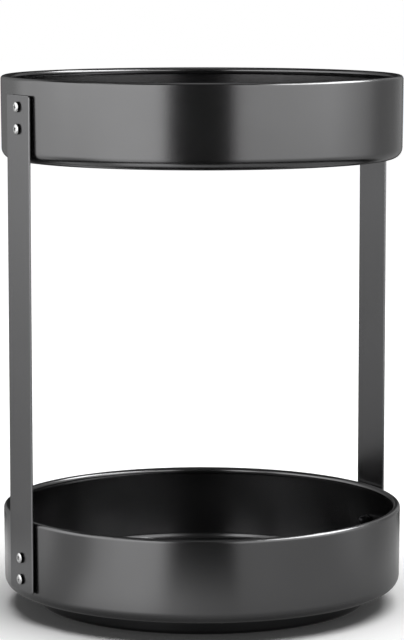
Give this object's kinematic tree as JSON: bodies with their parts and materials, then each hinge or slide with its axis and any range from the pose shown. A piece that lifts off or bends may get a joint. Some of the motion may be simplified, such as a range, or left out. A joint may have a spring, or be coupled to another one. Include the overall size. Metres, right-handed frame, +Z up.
{
  "type": "lazy susan turntable",
  "caption": "Two-tier revolving rack: deep round steel trays joined by flat side posts, turning on a ball bearing in a low round base.",
  "frame": {"origin": "on the turning axis, on the surface that the feet stand on", "axes": "+Z up along the turning axis; at rest the posts stand on -X and +X"},
  "size_m": [0.309, 0.3, 0.4],
  "materials": {
    "tray_coat": "satin metallic gunmetal coating on drawn steel",
    "post_coat": "satin metallic gunmetal coating on flat steel",
    "base_coat": "satin black coating",
    "screw_steel": "bright zinc-plated steel",
    "nut_black": "black oxide on steel nuts",
    "ring_aluminium": "turned aluminium",
    "ball_steel": "polished bearing steel",
    "cage_plastic": "natural nylon",
    "foot_rubber": "matte black rubber"
  },
  "bodies": {
    "base": {"base_dish": "base_coat", "bearing_inner_ring": "ring_aluminium", "base_screw_1": "screw_steel", "base_screw_2": "screw_steel", "base_screw_3": "screw_steel", "base_screw_4": "screw_steel", "foot_1": "foot_rubber", "foot_2": "foot_rubber", "foot_3": "foot_rubber", "foot_4": "foot_rubber", "foot_5": "foot_rubber", "foot_6": "foot_rubber"},
    "cage": {"ball_cage": "cage_plastic", "ball_1": "ball_steel", "ball_2": "ball_steel", "ball_3": "ball_steel", "ball_4": "ball_steel", "ball_5": "ball_steel", "ball_6": "ball_steel", "ball_7": "ball_steel", "ball_8": "ball_steel", "ball_9": "ball_steel", "ball_10": "ball_steel", "ball_11": "ball_steel", "ball_12": "ball_steel"},
    "tower": {"upper_tray": "tray_coat", "lower_tray": "tray_coat", "post_right": "post_coat", "post_left": "post_coat", "post_screw_right_1": "screw_steel", "post_screw_right_2": "screw_steel", "post_screw_right_3": "screw_steel", "post_screw_right_4": "screw_steel", "post_screw_left_1": "screw_steel", "post_screw_left_2": "screw_steel", "post_screw_left_3": "screw_steel", "post_screw_left_4": "screw_steel", "cap_nut_right_1": "nut_black", "cap_nut_right_2": "nut_black", "cap_nut_right_3": "nut_black", "cap_nut_right_4": "nut_black", "cap_nut_left_1": "nut_black", "cap_nut_left_2": "nut_black", "cap_nut_left_3": "nut_black", "cap_nut_left_4": "nut_black", "bearing_outer_ring": "ring_aluminium", "tray_screw_1": "screw_steel", "tray_screw_2": "screw_steel", "tray_screw_3": "screw_steel", "tray_screw_4": "screw_steel"}
  },
  "joints": [
    {"name": "turntable_spin", "type": "hinge", "parent": "base", "child": "tower", "pos_m": [0, 0, 0.0155], "axis": [0, 0, 1], "continuous": true},
    {"name": "cage_spin", "type": "hinge", "parent": "base", "child": "cage", "pos_m": [0, 0, 0.0093], "axis": [0, 0, 1], "continuous": true}
  ],
  "couplings": [
    {"joint": "cage_spin", "follows": "turntable_spin", "ratio": 0.514}
  ]
}
